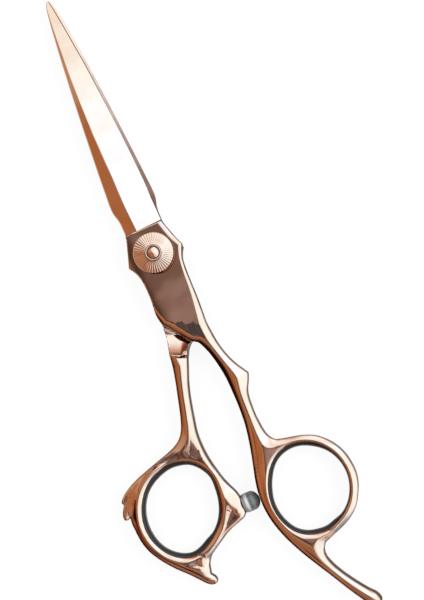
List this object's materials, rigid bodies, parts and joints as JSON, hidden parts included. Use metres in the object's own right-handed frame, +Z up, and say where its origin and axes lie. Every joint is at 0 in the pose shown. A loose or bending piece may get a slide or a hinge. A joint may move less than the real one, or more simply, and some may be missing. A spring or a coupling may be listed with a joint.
{
  "type": "hair cutting shears",
  "caption": "Closed hair cutting shears with offset ring handles, rubber finger inserts, a bumper, a little-finger tang and a fluted tension dial at the pivot.",
  "frame": {"origin": "on the pivot axis, in the plane the shears lie on, at the back face of the pivot bolt's head", "axes": "+Y from the pivot to the blade tips, +Z up towards the tension dial, +X towards the finger ring's side"},
  "size_m": [0.0592, 0.1757, 0.0091],
  "materials": {
    "coated_steel": "mirror polished, rose-gold coating",
    "insert_rubber": "smooth satin rubber",
    "bumper_silicone": "grey translucent silicone",
    "bare_steel": "bright steel",
    "bush_brass": "plain brass",
    "washer_nylon": "natural nylon"
  },
  "bodies": {
    "finger_side": {"finger_half": "coated_steel", "finger_insert": "insert_rubber", "pivot_bush": "bush_brass"},
    "thumb_side": {"thumb_half": "coated_steel", "thumb_insert": "insert_rubber", "bumper": "bumper_silicone", "bumper_stud": "bare_steel", "pivot_bolt": "coated_steel", "thrust_washer": "washer_nylon", "base_washer": "washer_nylon", "click_plate": "bare_steel", "spring_washer": "bare_steel"},
    "dial": {"tension_dial": "coated_steel", "dial_bush": "coated_steel"}
  },
  "joints": [
    {"name": "blade_pivot", "type": "hinge", "parent": "finger_side", "child": "thumb_side", "pos_m": [0, 0, 0], "axis": [0, 0, -1], "range_deg": [0, 90]},
    {"name": "dial_turn", "type": "hinge", "parent": "thumb_side", "child": "dial", "pos_m": [0, 0, 0], "axis": [0, 0, 1], "range_deg": [-180, 180]}
  ]
}
